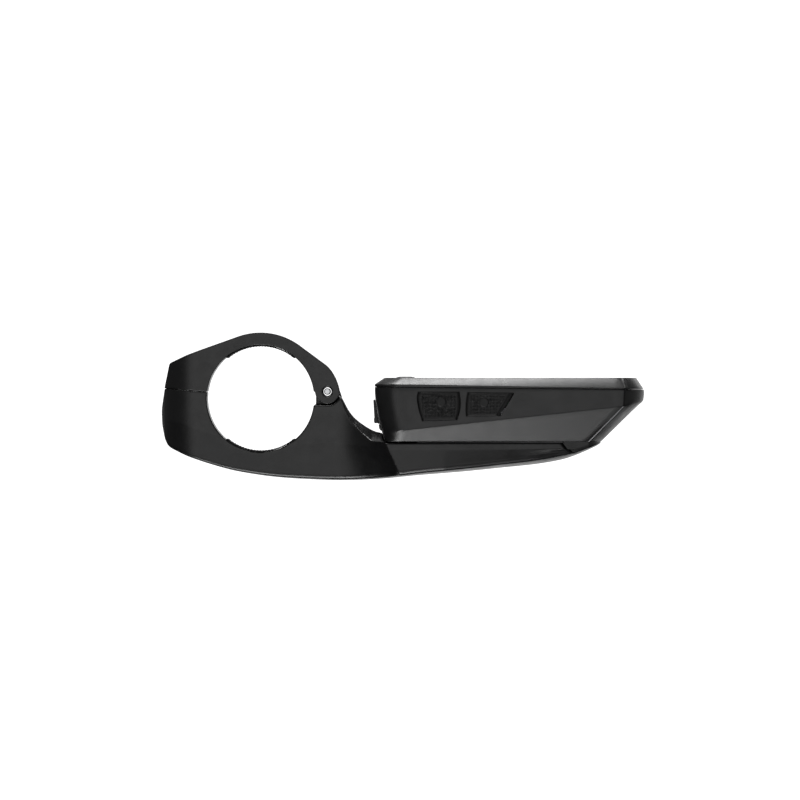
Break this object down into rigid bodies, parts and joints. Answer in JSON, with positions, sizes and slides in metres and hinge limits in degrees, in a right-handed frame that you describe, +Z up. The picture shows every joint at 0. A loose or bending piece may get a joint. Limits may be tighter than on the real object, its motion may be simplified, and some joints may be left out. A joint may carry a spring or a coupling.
{
  "type": "cycling computer with handlebar mount",
  "caption": "Slim cycling computer locked by a quarter turn onto an out-front arm whose hinged, screwed clamp grips a round handlebar.",
  "frame": {"origin": "centre of the handlebar, on the mount's middle plane, midway across the clamp", "axes": "+X forward along the bike towards the computer's nose, +Y to the rider's left along the handlebar, +Z up"},
  "size_m": [0.1476, 0.0486, 0.0449],
  "materials": {
    "nylon": "fine spark-eroded texture, black glass-filled nylon",
    "case": "fine matte texture, charcoal black",
    "bezel": "satin, charcoal black",
    "rubber": "matte black silicone",
    "glass": "dark printed cover glass",
    "lcd": "reflective display, switched off",
    "foam": "closed-cell foam",
    "steel": "bright stainless steel",
    "black_steel": "black oxide steel",
    "brass": "turned and knurled brass",
    "board": "green solder mask",
    "cell": "silver pouch foil",
    "ceramic": "fired ceramic",
    "flex": "amber polyimide film"
  },
  "bodies": {
    "mount": {"mount_arm": "nylon", "lower_bar_pad": "rubber", "hinge_pin": "steel", "twist_socket": "nylon", "socket_screw_1": "black_steel", "socket_screw_2": "black_steel", "socket_screw_3": "black_steel", "socket_screw_4": "black_steel"},
    "strap": {"clamp_strap": "nylon", "upper_bar_pad": "rubber", "threaded_insert": "brass"},
    "screw_washer": {"clamp_washer": "steel"},
    "screw": {"clamp_screw": "black_steel"},
    "computer": {"lower_case": "case", "upper_bezel": "bezel", "twist_foot": "nylon", "foot_screw_1": "black_steel", "foot_screw_2": "black_steel", "case_screw_1": "black_steel", "case_screw_2": "black_steel", "case_screw_3": "black_steel", "case_screw_4": "black_steel", "display_window": "glass", "display_panel": "lcd", "display_gasket": "foam", "case_seal": "rubber", "main_board": "board", "battery": "cell", "radio_shield": "steel", "gps_antenna": "ceramic", "buzzer": "black_steel", "display_flex": "flex", "charging_port": "steel", "front_switch_left": "black_steel", "front_switch_centre": "black_steel", "front_switch_right": "black_steel", "side_switch_rear": "black_steel", "side_switch_front": "black_steel", "power_switch": "black_steel"},
    "cover_flap": {"port_cover": "rubber"},
    "front_button_left_key": {"front_button_left": "rubber"},
    "front_button_centre_key": {"front_button_centre": "rubber"},
    "front_button_right_key": {"front_button_right": "rubber"},
    "side_button_rear_key": {"side_button_rear": "rubber"},
    "side_button_front_key": {"side_button_front": "rubber"},
    "power_button_key": {"power_button": "rubber"}
  },
  "joints": [
    {"name": "strap_hinge", "type": "hinge", "parent": "mount", "child": "strap", "pos_m": [0.0204, 0, 0.0021], "axis": [0, 1, 0], "range_deg": [0, 66]},
    {"name": "clamp_screw_travel", "type": "slide", "parent": "mount", "child": "screw_washer", "axis": [-0.0767, 0, -0.9971], "range_m": [0, 0.0056]},
    {"name": "clamp_screw_turn", "type": "hinge", "parent": "screw_washer", "child": "screw", "pos_m": [-0.023, 0, 0.0025], "axis": [-0.0767, 0, -0.9971], "range_deg": [0, 2881]},
    {"name": "computer_twist", "type": "hinge", "parent": "mount", "child": "computer", "pos_m": [0.07, 0, -0.0137], "axis": [0, 0, 1], "range_deg": [0, 90]},
    {"name": "port_cover_hinge", "type": "hinge", "parent": "computer", "child": "cover_flap", "pos_m": [0.0347, 0, -0.0003], "axis": [0, 1, 0], "range_deg": [0, 95]},
    {"name": "front_button_left_press", "type": "slide", "parent": "computer", "child": "front_button_left_key", "axis": [0, 0, -1], "range_m": [0, 0.00045], "stiffness_N_per_m": 4000},
    {"name": "front_button_centre_press", "type": "slide", "parent": "computer", "child": "front_button_centre_key", "axis": [0, 0, -1], "range_m": [0, 0.00045], "stiffness_N_per_m": 4000},
    {"name": "front_button_right_press", "type": "slide", "parent": "computer", "child": "front_button_right_key", "axis": [0, 0, -1], "range_m": [0, 0.00045], "stiffness_N_per_m": 4000},
    {"name": "side_button_rear_press", "type": "slide", "parent": "computer", "child": "side_button_rear_key", "axis": [0, 1, 0], "range_m": [0, 0.0004], "stiffness_N_per_m": 4000},
    {"name": "side_button_front_press", "type": "slide", "parent": "computer", "child": "side_button_front_key", "axis": [0, 1, 0], "range_m": [0, 0.0004], "stiffness_N_per_m": 4000},
    {"name": "power_button_press", "type": "slide", "parent": "computer", "child": "power_button_key", "axis": [0, -1, 0], "range_m": [0, 0.0004], "stiffness_N_per_m": 4000}
  ],
  "couplings": [
    {"joint": "clamp_screw_turn", "follows": "clamp_screw_travel", "rad_per_m": 8976}
  ]
}
